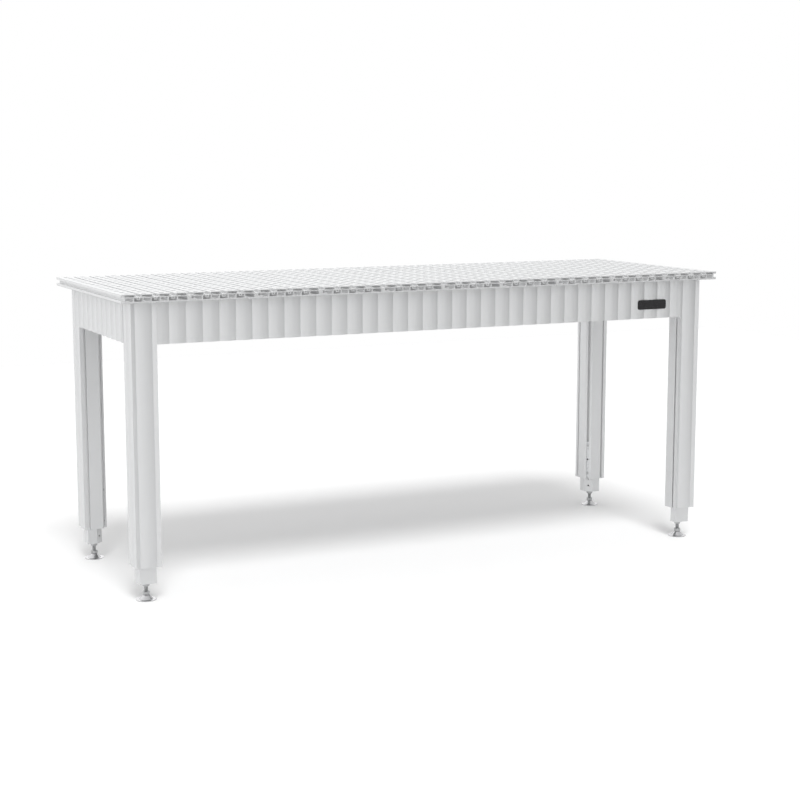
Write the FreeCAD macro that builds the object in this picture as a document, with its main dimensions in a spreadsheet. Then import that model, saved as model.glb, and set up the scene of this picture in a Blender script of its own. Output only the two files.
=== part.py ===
import FreeCAD, Part
import math
import os
import re

import Sketcher

# Aluminium assembly table: a plate of ten T-slotted extrusions on four fluted legs that telescope,
# each on a screw-in levelling foot. Millimetres; origin on the floor under the middle of the table,
# +X along its length, +Z up, the front at -Y.

doc = FreeCAD.newDocument("assembly_table")
sheet = doc.addObject("Spreadsheet::Sheet", "sizes")

# Driving sizes, group by group.
SIZES = {
    # Whole table
    "table_height": 890, "top_depth": 700, "top_thickness": 25,
    "module_count": 10, "module_width": 200, "slot_pitch": 50,
    # T-slot and the screw port that hangs under its floor
    "slot_mouth": 9, "slot_lip": 3, "slot_cavity": 19, "slot_shoulder": 1.5,
    "slot_floor_width": 9, "slot_depth": 8.5,
    "port_bore": 4.8, "port_depth": 12.25, "port_boss": 9, "port_wall": 1.4,
    # Hollow chambers of the plate
    "top_skin": 2.5, "floor_skin": 4.2, "web_height": 8, "web_thickness": 2.5,
    "upper_chamber": 28, "port_chamber": 24, "lower_chamber": 21,
    # Tongue joint between neighbouring modules
    "tongue_reach": 4, "tongue_thickness": 5, "tongue_drop": 17, "tongue_gap": 0.15,
    "tongue_wall": 3.5, "socket_wall": 8, "key_bore": 8, "key_neck": 4,
    # Bores of the hole grid, midway between the slots
    "grid_bore": 16,
    # Open groove along both ends of the plate
    "side_groove": 11, "side_groove_depth": 9.7, "side_wall": 2.3,
    # Flutes of the legs and fascias
    "flute_pitch": 50, "flute_rise": 5, "flute_land": 5,
    # Outer leg
    "leg_inset": 75, "leg_width": 75, "leg_crest": 1.2, "leg_chamfer": 17, "foot_room": 101,
    "leg_groove": 6.4, "leg_groove_depth": 7, "wing_thickness": 11.6, "leg_skin": 3,
    "key_mouth": 8.6, "key_lip": 3.5, "key_cavity": 14, "key_cavity_depth": 6,
    # Telescoping inner tube
    "tube_width": 50, "tube_chamfer": 21, "tube_wall": 3, "tube_length": 400, "tube_exposed": 50,
    "tube_gap": 0.4, "hole_pitch": 25, "hole_bore": 6, "hole_rows": 12,
    # Clamp bar and its two screws
    "clamp_rise": 22, "clamp_spacing": 100, "clamp_bar_length": 130, "clamp_screw": 8, "clamp_bore": 8.4,
    "clamp_fit": 0.2, "clamp_backoff": 0.3,
    # Fascias and rails
    "fascia_height": 122, "fascia_skin": 2.5, "fascia_back": 3, "fascia_web": 4, "tongue_fit": 0.2,
    "rail_height": 80, "rail_wall": 3,
    # Screws that hold the plate and the braces on the rails, and the bores that pass their heads
    "screw_width": 6, "screw_play": 0.6, "access_bore": 14,
    # Corner brace and the bolt that draws the leg against it
    "brace_sheet": 4, "brace_height": 60, "brace_reach": 28, "brace_flange": 30, "brace_drop": 10,
    "bolt_width": 8, "bolt_play": 1, "bolt_flats": 13, "bolt_head": 5.3, "nut_length": 20,
    # Levelling foot
    "pad_width": 60, "pad_height": 14.5, "pad_rim": 2.4, "pad_bell": 40, "pad_neck": 22,
    "ball_width": 12, "ball_gap": 0.1,
    "ball_height": 8, "spindle_width": 12, "spindle_length": 112, "spindle_fit": 0.05,
    "hex_flats": 19, "hex_height": 10.5, "hex_rise": 15, "neck_width": 8,
    "nut_flats": 19, "nut_height": 10, "plug_height": 18, "plug_fit": 0.1,
}
for row, (alias, value) in enumerate(SIZES.items(), start=1):
    sheet.set(f"A{row}", alias)
    sheet.set(f"B{row}", str(value))
    sheet.setAlias(f"B{row}", alias)
doc.recompute()

WORD = re.compile(r"[a-z]+(?:_[a-z]+)+")
PLANES = {"floor": "XY_Plane", "front": "XZ_Plane", "side": "YZ_Plane"}
SIDE_X = "(module_count * module_width / 2 - leg_inset)"
SIDE_Y = "(top_depth / 2 - leg_inset)"

# Lengths that several parts share, as sheet formulas.
TABLE_LENGTH = "module_count * module_width"
UNDERSIDE = "(table_height - top_thickness)"
LEG_HALF = "(leg_width / 2)"
LEG_FACE = f"({LEG_HALF} + leg_crest)"
GROOVE_OUTER = f"({LEG_HALF} - wing_thickness)"
GROOVE_INNER = f"({GROOVE_OUTER} - leg_groove)"
CORE_EDGE = f"({LEG_HALF} - leg_chamfer)"
KEY_FACE = f"(({LEG_HALF} + {CORE_EDGE}) / sqrt(2))"
TUBE_HALF = "(tube_width / 2)"
TUBE_DIAGONAL = "(tube_width - tube_chamfer)"
TUBE_FOOT = "(foot_room - tube_exposed)"
FLUTE_RADIUS = "((flute_pitch ^ 2 / 4 + flute_rise ^ 2) / (2 * flute_rise))"
SCREW_PITCH = "(module_width / 2)"
BRACE_FACE = f"(({LEG_HALF} + brace_reach + {CORE_EDGE}) / sqrt(2) + brace_sheet)"
BRACE_SCREW = f"({LEG_HALF} + brace_reach + brace_flange / 2)"


def bound(text):
    """The formula with every alias written as a reference to the sheet."""
    return WORD.sub(lambda found: f"sizes.{found.group(0)}", str(text))


def value(text):
    """The formula's value with the sheet's present sizes."""
    return float(sheet.evalExpression(bound(text)))


def bind(thing, **formulas):
    for name, text in formulas.items():
        thing.setExpression(name, bound(text))


def place(thing, spot=("0", "0", "0"), turn=0):
    """Bind a part's place to the sheet; turn is in degrees about the vertical."""
    thing.Placement = FreeCAD.Placement(FreeCAD.Vector(), FreeCAD.Rotation(FreeCAD.Vector(0, 0, 1), turn))
    for axis, text in zip("xyz", spot):
        thing.setExpression(f"Placement.Base.{axis}", bound(text))


def new_body(label):
    made = doc.addObject("PartDesign::Body", label)
    made.Label = label
    return made


def origin_item(body, role):
    return next(item for item in body.Origin.OriginFeatures if item.Role == role)


def new_sketch(body, plane, lift="0", turn=0):
    """An empty sketch on one of the body's own planes, lifted along its normal and turned in it."""
    sketch = body.newObject("Sketcher::SketchObject", "sketch")
    sketch.AttachmentSupport = (origin_item(body, PLANES[plane]), "")
    sketch.MapMode = "FlatFace"
    rotation = FreeCAD.Rotation(FreeCAD.Vector(0, 0, 1), turn)
    sketch.AttachmentOffset = FreeCAD.Placement(FreeCAD.Vector(), rotation)
    sketch.setExpression("AttachmentOffset.Base.z", bound(lift))
    return sketch


def arc_between(start, end, radius):
    """Arc from start to end; a positive radius has its centre on the left of the way there."""
    chord = end - start
    left = FreeCAD.Vector(-chord.y, chord.x, 0).normalize()
    rise = math.sqrt(max(radius ** 2 - (chord.Length / 2) ** 2, 0))
    centre = (start + end) / 2 + left * math.copysign(rise, radius)
    away = ((start + end) / 2 - centre)
    middle = centre + away.normalize() * abs(radius)
    return Part.Arc(start, middle, end)


def pin(sketch, geometry, end, point, formulas):
    """Hold one end of an edge at formulas measured from the sketch's origin."""
    for kind, number, text in zip(("DistanceX", "DistanceY"), (point.x, point.y), formulas):
        index = sketch.addConstraint(Sketcher.Constraint(kind, -1, 1, geometry, end, number))
        sketch.setExpression(f"Constraints[{index}]", bound(text))


def draw(sketch, points):
    """Closed outline; a point with a third entry is reached by an arc of that signed radius."""
    spots = [FreeCAD.Vector(value(point[0]), value(point[1]), 0) for point in points]
    edges = []
    for index, point in enumerate(points):
        start, end = spots[index - 1], spots[index]
        if len(point) == 3:
            radius = value(point[2])
            edge = sketch.addGeometry(arc_between(start, end, radius))
            tail, head = (1, 2) if radius > 0 else (2, 1)
            held = sketch.addConstraint(Sketcher.Constraint("Radius", edge, abs(radius)))
            sketch.setExpression(f"Constraints[{held}]", bound(f"abs({point[2]})"))
        else:
            edge = sketch.addGeometry(Part.LineSegment(start, end))
            tail, head = 1, 2
        pin(sketch, edge, head, end, point[:2])
        edges.append((edge, tail, head))
    for index, (edge, tail, head) in enumerate(edges):
        before, _, last = edges[index - 1]
        sketch.addConstraint(Sketcher.Constraint("Coincident", before, last, edge, tail))


def draw_circle(sketch, width, across="0", up="0"):
    spot = FreeCAD.Vector(value(across), value(up), 0)
    circle = sketch.addGeometry(Part.Circle(spot, FreeCAD.Vector(0, 0, 1), value(width) / 2))
    pin(sketch, circle, 3, spot, (across, up))
    held = sketch.addConstraint(Sketcher.Constraint("Radius", circle, value(width) / 2))
    sketch.setExpression(f"Constraints[{held}]", bound(f"({width}) / 2"))


def box_points(left, right, low, high):
    return [(left, low), (right, low), (right, high), (left, high)]


def pad(body, sketch, length, both_ways=False):
    made = body.newObject("PartDesign::Pad", "pad")
    made.Profile = sketch
    made.SideType = "Symmetric" if both_ways else "One side"
    bind(made, Length=length)
    return made


def pocket(body, sketch, depth=None):
    """Cut the sketch to a depth behind its plane, or right through both ways."""
    made = body.newObject("PartDesign::Pocket", "pocket")
    made.Profile = sketch
    if depth:
        bind(made, Length=depth)
    else:
        made.SideType = "Symmetric"
        made.Type = "ThroughAll"
    body.Tip = made
    return made


def revolve(body, sketch):
    made = body.newObject("PartDesign::Revolution", "revolution")
    made.Profile = sketch
    made.ReferenceAxis = (sketch, ["V_Axis"])
    made.Angle = 360
    return made


def repeat(body, feature, direction, pitch, copies):
    made = body.newObject("PartDesign::LinearPattern", "pattern")
    made.Originals = [feature]
    made.Direction = direction
    made.Mode = "Spacing"
    bind(made, Offset=pitch, Occurrences=copies)
    body.Tip = made
    return made


def screw_count(span):
    """How many screws of the common pitch fit along a rail, half of them on each side of its middle."""
    return f"2 * floor(({span} + {SCREW_PITCH}) / (2 * {SCREW_PITCH}))"


def tool(body, kind, spot, axis, **formulas):
    """A PartDesign primitive whose own axis points along axis."""
    made = body.newObject(f"PartDesign::{kind}", kind.lower())
    bind(made, **formulas)
    made.Placement = FreeCAD.Placement(
        FreeCAD.Vector(), FreeCAD.Rotation(FreeCAD.Vector(0, 0, 1), FreeCAD.Vector(*axis)))
    for letter, text in zip("xyz", spot):
        made.setExpression(f"Placement.Base.{letter}", bound(text))
    return made


# ---------------------------------------------------------------- table plate

def left_edge(first):
    """Left side of a module from its top down: open groove on the first, tongue on the others."""
    groove_low = "-(top_thickness + side_groove) / 2"
    groove_high = "-(top_thickness - side_groove) / 2"
    if first:
        return [("0", "0"), ("0", groove_high), ("side_groove_depth", groove_high),
                ("side_groove_depth", groove_low), ("0", groove_low), ("0", "-top_thickness")]
    tongue_high = "-tongue_drop + tongue_thickness / 2"
    tongue_low = "-tongue_drop - tongue_thickness / 2"
    return half_slot(1) + [("0", tongue_high), ("-tongue_reach", tongue_high),
                           ("-tongue_reach", tongue_low), ("0", tongue_low), ("0", "-top_thickness")]


def right_edge(last):
    """Right side of a module from its underside up: open groove on the last, socket on the others."""
    groove_low = "-(top_thickness + side_groove) / 2"
    groove_high = "-(top_thickness - side_groove) / 2"
    if last:
        inside = "module_width - side_groove_depth"
        return [("module_width", "-top_thickness"), ("module_width", groove_low), (inside, groove_low),
                (inside, groove_high), ("module_width", groove_high), ("module_width", "0")]
    socket_low = "-tongue_drop - tongue_thickness / 2 - tongue_gap"
    socket_high = "-tongue_drop + tongue_thickness / 2 + tongue_gap"
    inside = "module_width - tongue_reach - tongue_gap"
    return [("module_width", "-top_thickness"), ("module_width", socket_low), (inside, socket_low),
            (inside, socket_high), ("module_width", socket_high)] + half_slot(-1)[::-1]


def half_slot(side):
    """Half of a T-slot at a module's edge, from the top down; side 1 is the left edge."""
    start = "0" if side > 0 else "module_width"
    sign = "+" if side > 0 else "-"
    steps = [("slot_mouth / 2", "0"), ("slot_mouth / 2", "-slot_lip"), ("slot_cavity / 2", "-slot_lip"),
             ("slot_cavity / 2", "-slot_lip - slot_shoulder"), ("slot_floor_width / 2", "-slot_depth"),
             ("0", "-slot_depth")]
    return [(f"{start} {sign} {across}", up) for across, up in steps]


def slot_outline(centre):
    """Whole T-slot about its middle line, open above the plate."""
    widths = [("slot_mouth", "slot_lip"), ("slot_mouth", "-slot_lip"), ("slot_cavity", "-slot_lip"),
              ("slot_cavity", "-slot_lip - slot_shoulder"), ("slot_floor_width", "-slot_depth")]
    right = [(f"{centre} + {width} / 2", up) for width, up in widths]
    left = [(f"{centre} - {width} / 2", up) for width, up in widths]
    return left + right[::-1]


def port_chamber_outline(centre):
    """Chamber round the screw port that hangs under a slot's floor."""
    top = "-(web_height + web_thickness)"
    low = "floor_skin - top_thickness"
    boss = "-port_depth - port_bore / 2 - port_wall"
    side, half = "port_chamber / 2", "port_boss / 2"
    return [(f"{centre} - {side}", top), (f"{centre} - {side}", low), (f"{centre} + {side}", low),
            (f"{centre} + {side}", top), (f"{centre} + {half}", top), (f"{centre} + {half}", boss),
            (f"{centre} - {half}", boss), (f"{centre} - {half}", top)]


def lower_chambers(first, last):
    """Left and right ends of the chambers under the mid web, between the slots."""
    low_half = "lower_chamber / 2"
    spans = []
    for gap in range(4):
        middle = f"slot_pitch * {gap + 0.5}"
        spans.append([f"{middle} - {low_half}", f"{middle} + {low_half}"])
    spans[0][0] = "side_groove_depth + side_wall" if first else "tongue_wall + key_bore + key_neck"
    spans[-1][1] = "module_width - socket_wall"
    if last:
        spans[-1][1] = "module_width - side_groove_depth - side_wall"
    return spans


def table_module(label, place_index, first, last):
    body = new_body(label)
    outline = new_sketch(body, "front")
    draw(outline, left_edge(first) + right_edge(last))
    pad(body, outline, "top_depth", both_ways=True)

    slots = new_sketch(body, "front")
    draw(slots, slot_outline("slot_pitch"))
    draw(slots, port_chamber_outline("slot_pitch"))
    draw_circle(slots, "port_bore", "slot_pitch", "-port_depth")
    repeat(body, pocket(body, slots), (slots, ["H_Axis"]), "slot_pitch",
           "floor(module_width / slot_pitch) - 1")

    upper = new_sketch(body, "front")
    draw(upper, box_points("(slot_pitch - upper_chamber) / 2", "(slot_pitch + upper_chamber) / 2",
                           "-web_height", "-top_skin"))
    repeat(body, pocket(body, upper), (upper, ["H_Axis"]), "slot_pitch",
           "floor(module_width / slot_pitch)")

    lower = new_sketch(body, "front")
    for left, right in lower_chambers(first, last):
        draw(lower, box_points(left, right, "floor_skin - top_thickness", "-(web_height + web_thickness)"))
    pocket(body, lower)

    if not first:
        across, up = "tongue_wall + key_bore / 2", "-(tongue_drop + web_height + web_thickness) / 2"
        key = new_sketch(body, "front")
        draw_circle(key, "key_bore", across, up)
        pocket(body, key)
        neck = new_sketch(body, "front")
        draw(neck, box_points(across, "tongue_wall + key_bore + key_neck + slot_shoulder",
                              f"{up} - key_neck / 2", f"{up} + key_neck / 2"))
        pocket(body, neck)

    rows = "floor(top_depth / slot_pitch)"
    grid = new_sketch(body, "floor")
    draw_circle(grid, "grid_bore", "slot_pitch / 2", f"(1 - {rows}) * slot_pitch / 2")
    holes = repeat(body, pocket(body, grid), (grid, ["H_Axis"]), "slot_pitch",
                   "floor(module_width / slot_pitch)")
    holes.Direction2 = (grid, ["V_Axis"])
    bind(holes, Length2=f"({rows} - 1) * slot_pitch", Occurrences2=rows)
    plate_screw_bores(body, first, last)
    place(body, (f"module_width * ({place_index} - module_count / 2)", "0", "table_height"))
    return body


def plate_screw_bores(body, first, last):
    """Threaded bores in a module's floor skin, over the rails that it is screwed down on."""
    long_rows = new_sketch(body, "floor", lift="floor_skin - top_thickness")
    near, far = f"{SCREW_PITCH} / 2", f"{SCREW_PITCH} * 3 / 2"
    for across in ([far] if first else [near] if last else [near, far]):
        for side in ("-", ""):
            draw_circle(long_rows, "screw_width", across, f"{side}{SIDE_Y}")
    pocket(body, long_rows, "floor_skin")
    if first or last:
        copies = screw_count("(top_depth - 2 * leg_inset - leg_width)")
        short_row = new_sketch(body, "floor", lift="floor_skin - top_thickness")
        across = "leg_inset" if first else "module_width - leg_inset"
        draw_circle(short_row, "screw_width", across, f"(1 - {copies}) * {SCREW_PITCH} / 2")
        repeat(body, pocket(body, short_row, "floor_skin"), (short_row, ["V_Axis"]), SCREW_PITCH, copies)


# ---------------------------------------------------------------- fluted surfaces

def valley_outline(centre, face):
    """Cut between two flutes: two arcs that meet in the valley, open past the crest line.
    Across is along the face; the face looks to negative up."""
    half = "(flute_pitch / 2 - flute_land / 2)"
    return [(f"{centre} - {half}", f"-{face} - flute_rise"), (f"{centre} + {half}", f"-{face} - flute_rise"),
            (f"{centre} + {half}", f"-{face}"), (centre, f"flute_rise - {face}", f"-{FLUTE_RADIUS}"),
            (f"{centre} - {half}", f"-{face}", f"-{FLUTE_RADIUS}")]


def flute_chamber(face, inner):
    """Hollow under a whole flute, one skin behind its crest line and down to the inner line."""
    half = "(flute_pitch / 2 - 2 * leg_skin)"
    bow = f"({FLUTE_RADIUS} - leg_skin)"
    edge = f"{FLUTE_RADIUS} - {face} - sqrt({bow} ^ 2 - {half} ^ 2)"
    return [(f"-{half}", f"-{inner}"), (f"-{half}", edge), (half, edge, bow), (half, f"-{inner}")]


def fascia(label, span, spot, turn):
    """Hollow fluted panel with a back plate whose two tongues enter the legs' grooves."""
    body = new_body(label)
    half = f"(({span}) / 2)"
    back = f"-({GROOVE_INNER} + tongue_fit)"
    step = f"-({GROOVE_OUTER} - tongue_fit)"
    reach = f"({half} + leg_groove_depth - tongue_fit)"
    outline = new_sketch(body, "floor")
    draw(outline, [(f"-{half}", f"-{LEG_FACE}"), (half, f"-{LEG_FACE}"), (half, step), (reach, step),
                   (reach, back), (f"-{reach}", back), (f"-{reach}", step), (f"-{half}", step)])
    pad(body, outline, "fascia_height")

    first = f"-floor({half} / flute_pitch) * flute_pitch"
    copies = f"2 * floor({half} / flute_pitch) + 1"
    valleys = new_sketch(body, "floor")
    draw(valleys, valley_outline(f"({first})", LEG_FACE))
    repeat(body, pocket(body, valleys), (valleys, ["H_Axis"]), "flute_pitch", copies)

    chambers = new_sketch(body, "floor")
    draw(chambers, box_points(f"{first} + fascia_web / 2", f"{first} + flute_pitch - fascia_web / 2",
                              f"flute_rise + fascia_skin - {LEG_FACE}", f"{back} - fascia_back"))
    repeat(body, pocket(body, chambers), (chambers, ["H_Axis"]), "flute_pitch", f"{copies} - 1")
    place(body, spot, turn)
    return body


def rail(label, span, spot, turn):
    """Hollow rectangular rail that butts against two legs behind a fascia."""
    body = new_body(label)
    outline = new_sketch(body, "side")
    top, low = "0", "-rail_height"
    front, back = f"-{GROOVE_INNER}", CORE_EDGE
    draw(outline, box_points(front, back, low, top))
    draw(outline, box_points(f"{front} + rail_wall", f"{back} - rail_wall", f"{low} + rail_wall",
                             f"{top} - rail_wall"))
    pad(body, outline, span, both_ways=True)

    copies = screw_count(span)
    start = f"(1 - {copies}) * {SCREW_PITCH} / 2"
    for width, lift in (("screw_width + screw_play", "0"), ("access_bore", "-rail_height / 2")):
        bores = new_sketch(body, "floor", lift=lift)
        draw_circle(bores, width, start)
        repeat(body, pocket(body, bores, "rail_height"), (bores, ["H_Axis"]), SCREW_PITCH, copies)
    for side in (-1, 1):
        for step in (1, 3):
            across = f"{side} * (({span}) / 2 + {LEG_HALF} - {BRACE_SCREW})"
            up = f"brace_height * {step} / 4 - brace_drop - brace_height"
            body.Tip = tool(body, "SubtractiveCylinder", (across, f"{CORE_EDGE} - 2 * rail_wall", up),
                            (0, 1, 0), Radius="screw_width / 2", Height="3 * rail_wall")
    place(body, spot, turn)
    return body


# ---------------------------------------------------------------- legs

def outer_leg(label, spot, turn):
    """Fluted leg extrusion: bore for the tube, grooves for the fascias, T-slot in the inner corner."""
    body = new_body(label)
    inner = f"({LEG_HALF} - leg_groove_depth)"
    arm = [(LEG_HALF, f"-{LEG_FACE}"), (LEG_HALF, f"-{GROOVE_OUTER}"), (inner, f"-{GROOVE_OUTER}"),
           (inner, f"-{GROOVE_INNER}"), (LEG_HALF, f"-{GROOVE_INNER}"), (LEG_HALF, CORE_EDGE)]
    other_arm = [(up, across) for across, up in arm[::-1]]
    outline = new_sketch(body, "floor")
    draw(outline, [(f"-{LEG_FACE}", f"-{LEG_FACE}")] + arm + other_arm)
    pad(body, outline, f"{UNDERSIDE} - foot_room")

    bore = new_sketch(body, "floor")
    half = f"({TUBE_HALF} + tube_gap)"
    cut = f"({TUBE_DIAGONAL} + tube_gap * sqrt(2) - {half})"
    draw(bore, [(f"-{half}", f"-{half}"), (half, f"-{half}"), (half, cut), (cut, half),
                (f"-{half}", half)])
    pocket(body, bore)

    for side in (0, -90):
        flutes = new_sketch(body, "floor", turn=side)
        mirror = "-1" if side else "1"
        draw(flutes, valley_outline(f"{mirror} * flute_pitch / 2", LEG_FACE))
        draw(flutes, valley_outline(f"-{mirror} * flute_pitch / 2", LEG_FACE))
        draw(flutes, flute_chamber(LEG_FACE, f"({half} + leg_skin)"))
        pocket(body, flutes)

    key = new_sketch(body, "floor", turn=45)
    lip = f"{KEY_FACE} - key_lip"
    floor_line = f"{KEY_FACE} - key_lip - key_cavity_depth"
    draw(key, [(f"{KEY_FACE} + key_lip", "-key_mouth / 2"), (f"{KEY_FACE} + key_lip", "key_mouth / 2"),
               (lip, "key_mouth / 2"), (lip, "key_cavity / 2"), (floor_line, "key_cavity / 2"),
               (floor_line, "-key_cavity / 2"), (lip, "-key_cavity / 2"), (lip, "-key_mouth / 2")])
    pocket(body, key)
    for step in range(3):
        height = f"clamp_rise + clamp_spacing * {step} / 2"
        body.Tip = tool(body, "SubtractiveCylinder", ("0", "0", height), (1, 1, 0),
                        Radius="clamp_bore / 2", Height=KEY_FACE)
    place(body, spot, turn)
    return body


def tube_outline(inset):
    """The tube's section moved inwards by inset, its inner corner cut off."""
    half = f"({TUBE_HALF} - {inset})"
    cut = f"({TUBE_DIAGONAL} - {inset} * sqrt(2) - {half})"
    return [(f"-{half}", f"-{half}"), (half, f"-{half}"), (half, cut), (cut, half), (f"-{half}", half)]


def inner_tube(label, spot, turn):
    """Telescoping tube with a row of index holes down its cut corner."""
    body = new_body(label)
    outline = new_sketch(body, "floor")
    draw(outline, tube_outline("0"))
    draw(outline, tube_outline("tube_wall"))
    pad(body, outline, "tube_length")
    drill = tool(body, "SubtractiveCylinder", ("0", "0", "clamp_rise"), (1, 1, 0),
                 Radius="hole_bore / 2", Height="tube_width")
    repeat(body, drill, (origin_item(body, "Z_Axis"), [""]), "hole_pitch", "hole_rows")
    place(body, spot, turn)
    return body


def tube_plug(label, spot, turn):
    """Block in the tube's lower end, bored for the spindle."""
    body = new_body(label)
    outline = new_sketch(body, "floor")
    draw(outline, tube_outline("(tube_wall + plug_fit)"))
    draw_circle(outline, "spindle_width + 2 * spindle_fit")
    body.Tip = pad(body, outline, "plug_height")
    place(body, spot, turn)
    return body


def slot_bar(label, length, heights, spot, turn):
    """Bar in the leg's T-slot with threaded bores at the given heights."""
    body = new_body(label)
    outline = new_sketch(body, "floor", turn=45)
    near = f"{KEY_FACE} - key_lip - key_cavity_depth + clamp_fit"
    draw(outline, box_points(near, f"{KEY_FACE} - key_lip - clamp_fit", "-key_cavity / 2 + clamp_fit",
                             "key_cavity / 2 - clamp_fit"))
    pad(body, outline, length)
    for height in heights:
        body.Tip = tool(body, "SubtractiveCylinder", ("0", "0", height), (1, 1, 0),
                        Radius="clamp_screw / 2 + clamp_fit / 4", Height=KEY_FACE)
    place(body, spot, turn)
    return body


def clamp_bar(label, spot, turn):
    """Threaded bar for the two clamp screws, with a sight bore onto the tube's index holes between them."""
    low = "(clamp_bar_length - clamp_spacing) / 2"
    body = slot_bar(label, "clamp_bar_length", [low, f"{low} + clamp_spacing"], spot, turn)
    body.Tip = tool(body, "SubtractiveCylinder", ("0", "0", "clamp_bar_length / 2"), (1, 1, 0),
                    Radius="hole_bore / 2", Height=KEY_FACE)
    return body


def clamp_screws(label, spot, turn):
    """Two socket grub screws that press on the tube, backed off by a hair."""
    screws = []
    tip = f"({TUBE_DIAGONAL} / sqrt(2) + clamp_backoff)"
    face = f"({KEY_FACE} - key_lip / 2)"
    for step in range(2):
        height = f"clamp_spacing * {step}"
        shank = doc.addObject("Part::Cylinder", f"{label}_shank")
        bind(shank, Radius="clamp_screw / 2", Height=f"{face} - {tip}")
        socket = doc.addObject("Part::Prism", f"{label}_socket")
        socket.Polygon = 6
        bind(socket, Circumradius="clamp_screw / 4 * 2 / sqrt(3)", Height="clamp_screw / 2")
        turned = FreeCAD.Rotation(FreeCAD.Vector(0, 0, 1), FreeCAD.Vector(1, 1, 0))
        for item, reach in ((shank, tip), (socket, f"{face} - clamp_screw / 2")):
            item.Placement = FreeCAD.Placement(FreeCAD.Vector(), turned)
            item.setExpression("Placement.Base.x", bound(f"{reach} / sqrt(2)"))
            item.setExpression("Placement.Base.y", bound(f"{reach} / sqrt(2)"))
            item.setExpression("Placement.Base.z", bound(height))
        screw = doc.addObject("Part::Cut", f"{label}_screw")
        screw.Base, screw.Tool = shank, socket
        screws.append(screw)
    pair = doc.addObject("Part::Compound", label)
    pair.Label = label
    pair.Links = screws
    place(pair, spot, turn)
    return pair


def corner_brace(label, spot, turn):
    """Bent plate across a corner, flat on both rails, that draws the leg outwards by one bolt."""
    body = new_body(label)
    outline = new_sketch(body, "floor")
    inner, outer = CORE_EDGE, f"({CORE_EDGE} + brace_sheet)"
    bend = f"({LEG_HALF} + brace_reach)"
    end = f"({bend} + brace_flange)"
    slack = "(brace_sheet * (sqrt(2) - 1))"
    draw(outline, [(end, inner), (end, outer), (f"{bend} + {slack}", outer),
                   (outer, f"{bend} + {slack}"), (outer, end), (inner, end), (inner, bend),
                   (bend, inner)])
    pad(body, outline, "brace_height")
    body.Tip = tool(body, "SubtractiveCylinder", ("0", "0", "brace_height / 2"), (1, 1, 0),
                    Radius="(bolt_width + bolt_play) / 2", Height="leg_width + brace_reach")
    for step in (1, 3):
        up = f"brace_height * {step} / 4"
        for spot_in, axis in (((BRACE_SCREW, "0", up), (0, 1, 0)), (("0", BRACE_SCREW, up), (1, 0, 0))):
            body.Tip = tool(body, "SubtractiveCylinder", spot_in, axis,
                            Radius="(screw_width + screw_play) / 2", Height="leg_width")
    place(body, spot, turn)
    return body


def corner_bolt(label, spot, turn):
    """Hexagon bolt through the brace into the nut in the leg's T-slot."""
    body = new_body(label)
    tip = f"({KEY_FACE} - key_lip - key_cavity_depth + clamp_fit)"
    spots = [(f"{reach} / sqrt(2)", f"{reach} / sqrt(2)", "brace_height / 2") for reach in (tip, BRACE_FACE)]
    tool(body, "AdditiveCylinder", spots[0], (1, 1, 0),
         Radius="bolt_width / 2", Height=f"{BRACE_FACE} - {tip}")
    body.Tip = tool(body, "AdditivePrism", spots[1], (1, 1, 0),
                    Circumradius="bolt_flats / sqrt(3)", Height="bolt_head")
    place(body, spot, turn)
    return body


def corner_nut(label, spot, turn):
    """T-nut that the corner bolt pulls on."""
    return slot_bar(label, "nut_length", ["nut_length / 2"], spot, turn)


# ---------------------------------------------------------------- levelling feet

def foot_pad(label, spot, turn):
    """Bell-shaped pad with a socket for the spindle's ball."""
    body = new_body(label)
    profile = new_sketch(body, "front")
    ball = "(ball_width / 2 + ball_gap)"
    mouth = "(ball_width * 0.4)"
    edge_up = f"(ball_height + sqrt({ball} ^ 2 - {mouth} ^ 2))"
    rim, nose = "(pad_width / 2)", "(pad_rim / 4)"
    draw(profile, [("0", "0"), (f"{rim} - {nose}", "0"), (rim, nose), (rim, f"pad_rim - {nose}"),
                   (f"{rim} - {nose}", "pad_rim"), (f"pad_bell / 2 + {nose}", "pad_rim"),
                   ("pad_bell / 2", f"pad_rim + {nose}"),
                   ("pad_neck / 2", f"pad_height - {nose}", "-2 * pad_width"),
                   (f"pad_neck / 2 - {nose}", "pad_height"), ("pad_neck / 2 - pad_rim", "pad_height"),
                   (mouth, edge_up), ("0", f"ball_height - {ball}", f"-{ball}")])
    body.Tip = revolve(body, profile)
    place(body, spot, turn)
    return body


def foot_spindle(label, spot, turn):
    """Threaded spindle with a hexagon to turn it by and a ball that stands in the pad."""
    body = new_body(label)
    profile = new_sketch(body, "front")
    neck, ball = "(neck_width / 2)", "(ball_width / 2)"
    joint_up = f"(ball_height + sqrt({ball} ^ 2 - {neck} ^ 2))"
    shank = "(spindle_width / 2)"
    draw(profile, [("0", f"ball_height - {ball}"), (neck, joint_up, ball), (neck, "hex_rise"),
                   (shank, "hex_rise"), (shank, "spindle_length - spindle_width / 8"),
                   (f"{shank} - spindle_width / 8", "spindle_length"), ("0", "spindle_length")])
    revolve(body, profile)
    body.Tip = tool(body, "AdditivePrism", ("0", "0", "hex_rise"), (0, 0, 1),
                    Circumradius="hex_flats / sqrt(3)", Height="hex_height")
    place(body, spot, turn)
    return body


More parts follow.
